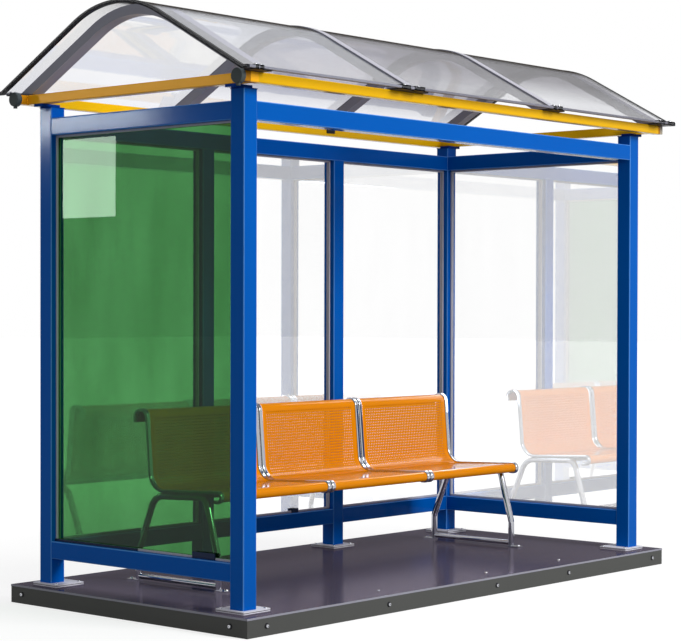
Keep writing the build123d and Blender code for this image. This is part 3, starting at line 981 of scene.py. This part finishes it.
class SHELTER_OT_stage(bpy.types.Operator):
    """Camera, floor, backdrop and lamps"""
    bl_idname = "shelter.stage"
    bl_label = "Stage"

    def execute(self, context):
        scene = context.scene
        self.camera(scene)
        self.floor()
        self.world(scene)
        self.lamps(scene)
        return {"FINISHED"}

    def camera(self, scene):
        """The camera at the photograph's viewing angle."""
        # solved from the corners of the plinth, the posts and the roof frame
        place = (-7.2349, -6.2198, 1.3462)
        yaw, pitch, roll = radians(48.778), radians(-0.820), radians(0.131)
        ahead = Vector((sin(yaw) * cos(pitch), cos(yaw) * cos(pitch), sin(pitch)))
        side = Vector((cos(yaw), -sin(yaw), 0))
        up = side.cross(ahead)
        side, up = side * cos(roll) + up * sin(roll), up * cos(roll) - side * sin(roll)
        lens = bpy.data.cameras.new("Camera")
        lens.sensor_width, lens.lens = 36, 102.43
        lens.shift_x, lens.shift_y = -0.0029, 0.0232
        lens.clip_end = 200
        camera = bpy.data.objects.new("Camera", lens)
        turn = Matrix((side, up, -ahead)).transposed().to_4x4()
        camera.matrix_world = Matrix.Translation(place) @ turn
        scene.collection.objects.link(camera)
        scene.camera = camera

    def floor(self):
        """A pale floor, white to the camera, that keeps the shelter's shadow."""
        def fill(shape):
            # half a millimetre down, so that it doesn't meet the plinth's underside
            bmesh.ops.create_grid(shape, x_segments=1, y_segments=1, size=60)
            bmesh.ops.translate(shape, vec=(0, 0, -0.5 * MM), verts=shape.verts)
        floor = piece_from("floor", fill)
        made = bpy.data.materials.new("Pale_floor")
        made.use_nodes = True
        tree = made.node_tree
        tree.nodes.clear()
        where = add(tree, "ShaderNodeTexCoord")
        away = add(tree, "ShaderNodeVectorMath", {0: (where, "Object")}, operation="LENGTH")
        # full white 5 m out, and a little less round the shelter, where the shadow falls
        near = add(tree, "ShaderNodeMapRange", {
            "Value": (away, "Value"), "From Min": 2.2, "From Max": 5.0, "To Min": 0.74,
            "To Max": 1.0}, interpolation_type="SMOOTHSTEP")
        path = add(tree, "ShaderNodeLightPath")
        seen = add(tree, "ShaderNodeMath", {
            0: (path, "Is Camera Ray"), 1: (path, "Is Transmission Ray")}, operation="MAXIMUM")
        mirrored = add(tree, "ShaderNodeMath", {0: (path, "Is Glossy Ray"), 1: 0.95},
                       operation="MULTIPLY")
        either = add(tree, "ShaderNodeMath", {0: (seen, 0), 1: (mirrored, 0)},
                     operation="MAXIMUM")
        glow = add(tree, "ShaderNodeMath", {0: (near, 0), 1: (either, 0)}, operation="MULTIPLY")
        matt = add(tree, "ShaderNodeBsdfDiffuse", {"Color": linear("999999")})
        light = add(tree, "ShaderNodeEmission", {"Strength": (glow, 0)})
        both = add(tree, "ShaderNodeAddShader", {0: (matt, 0), 1: (light, 0)})
        add(tree, "ShaderNodeOutputMaterial", {"Surface": (both, 0)})
        floor.data.materials.append(made)

    def world(self, scene):
        """A white studio with one dim far wall; soft and lower where it lights the object."""
        world = bpy.data.worlds.new("Studio")
        world.use_nodes = True
        scene.world = world
        tree = world.node_tree
        tree.nodes.clear()
        way = add(tree, "ShaderNodeTexCoord")
        # the dim wall stands low at the far right, where the deck and the roof mirror it
        ahead = add(tree, "ShaderNodeVectorMath", {0: (way, "Generated"), 1: (0.75, 0.66, -0.6)},
                    operation="DOT_PRODUCT")
        wall = add(tree, "ShaderNodeMapRange", {
            "Value": (ahead, "Value"), "From Min": 0.45, "From Max": 0.75, "To Min": 1.0,
            "To Max": 0.3}, interpolation_type="SMOOTHSTEP")
        path = add(tree, "ShaderNodeLightPath")
        plain = add(tree, "ShaderNodeMath", {
            0: (path, "Is Camera Ray"), 1: (path, "Is Transmission Ray")}, operation="MAXIMUM")
        soft = add(tree, "ShaderNodeMix", {0: (path, "Is Glossy Ray"), 2: 0.46, 3: (wall, 0)})
        level = add(tree, "ShaderNodeMix", {0: (plain, 0), 2: (soft, 0), 3: 1.0})
        back = add(tree, "ShaderNodeBackground", {
            "Color": linear("FFFFFF"), "Strength": (level, 0)})
        add(tree, "ShaderNodeOutputWorld", {"Surface": (back, 0)})

    def lamps(self, scene):
        """Two soft lamps, one that fills the far beams, and five that only show as reflections."""
        plain, cool, leaf, amber = "FFFFFF", "ECF9FF", "E2FFE7", "FFC57C"
        # name, place, target, watts, width, height, tone, whether it lights or only shows as a
        # reflection, and the first words of the pieces that it reaches, or None for all
        for name, place, target, watts, wide, high, tone, lights, reached in (
            ("Key", (1.0, -7.4, 4.7), (0, 0, 1.2), 525, 2.8, 2.8, plain, True, None),
            ("Top", (0, -0.5, 7.0), (0, 0, 0), 130, 3.0, 3.0, plain, True, None),
            # the back and right beams of the roof, nearly as bright as the front one
            ("Beam_fill", (-1.6, -3.4, 1.3), (0.9, 0.7, 2.25), 120, 1.6, 1.6, plain, True,
             ("roof_beam_back", "roof_beam_right")),
            # a light line where the seats bend, and on the bench's tubes
            ("Bench_strip", (1.36, 0.33, 1.55), (0, 0.33, 1.55), 16, 0.42, 1.5, cool, False,
             ("perforated_", "bench_")),
            # a pale sheen on the posts and rails
            ("Post_panel", (-7.5, -8.5, 1.6), (-1.4, 0, 1.6), 450, 2.0, 4.0, cool, False,
             ("post_", "low_rail", "top_rail")),
            # a window mirrored in the green pane, the rail over it and the beam over that
            ("Window_pane", (-4.0, 4.495, 2.185), (-1.4, 4.495, 2.185), 95, 3.01, 0.51, leaf,
             False, ("glass_left",)),
            ("Window_rail", (-4.0, 4.3, 2.558), (-1.4, 4.3, 2.558), 240, 3.4, 0.165, cool,
             False, ("post_back_left", "top_rail_left")),
            ("Window_beam", (-4.0, 4.0, 2.71), (-1.4, 4.0, 2.71), 76, 4.4, 0.13, amber,
             False, ("roof_beam_left",)),
        ):
            lamp = bpy.data.lights.new(name, "AREA")
            lamp.shape = "RECTANGLE"
            lamp.energy, lamp.size, lamp.size_y = watts, wide, high
            lamp.color = linear(tone)[:3]
            obj = bpy.data.objects.new(name, lamp)
            obj.location = place
            aim = Vector(target) - Vector(place)
            obj.rotation_euler = aim.to_track_quat("-Z", "Y").to_euler()
            obj.visible_camera = False
            obj.visible_transmission = False
            obj.visible_diffuse = lights
            if reached:
                group = bpy.data.collections.new(name)
                for piece in scene.objects:
                    if piece.name.startswith(reached):
                        group.objects.link(piece)
                obj.light_linking.receiver_collection = group
            scene.collection.objects.link(obj)


class SHELTER_PT_panel(bpy.types.Panel):
    """Buttons for each group of pieces"""
    bl_label = "Bus Shelter"
    bl_idname = "SHELTER_PT_panel"
    bl_space_type = "VIEW_3D"
    bl_region_type = "UI"
    bl_category = "Shelter"

    def draw(self, context):
        for operator in OPERATORS:
            self.layout.operator(operator.bl_idname)


OPERATORS = (SHELTER_OT_finishes, SHELTER_OT_seats, SHELTER_OT_glazing, SHELTER_OT_roof_trim,
             SHELTER_OT_fixings, SHELTER_OT_stage)
CLASSES = (ShelterColours, ShelterSizes) + OPERATORS + (SHELTER_PT_panel,)


def register():
    for item in CLASSES:
        bpy.utils.register_class(item)
    bpy.types.Scene.shelter_colours = bpy.props.PointerProperty(type=ShelterColours)
    bpy.types.Scene.shelter_sizes = bpy.props.PointerProperty(type=ShelterSizes)


def unregister():
    del bpy.types.Scene.shelter_sizes
    del bpy.types.Scene.shelter_colours
    for item in reversed(CLASSES):
        bpy.utils.unregister_class(item)


def main():
    register()
    bpy.context.scene.view_settings.view_transform = "Standard"
    bpy.ops.shelter.finishes()
    bpy.ops.shelter.seats()
    bpy.ops.shelter.glazing()
    bpy.ops.shelter.roof_trim()
    bpy.ops.shelter.fixings()
    bpy.ops.shelter.stage()


if __name__ == "__main__":
    main()
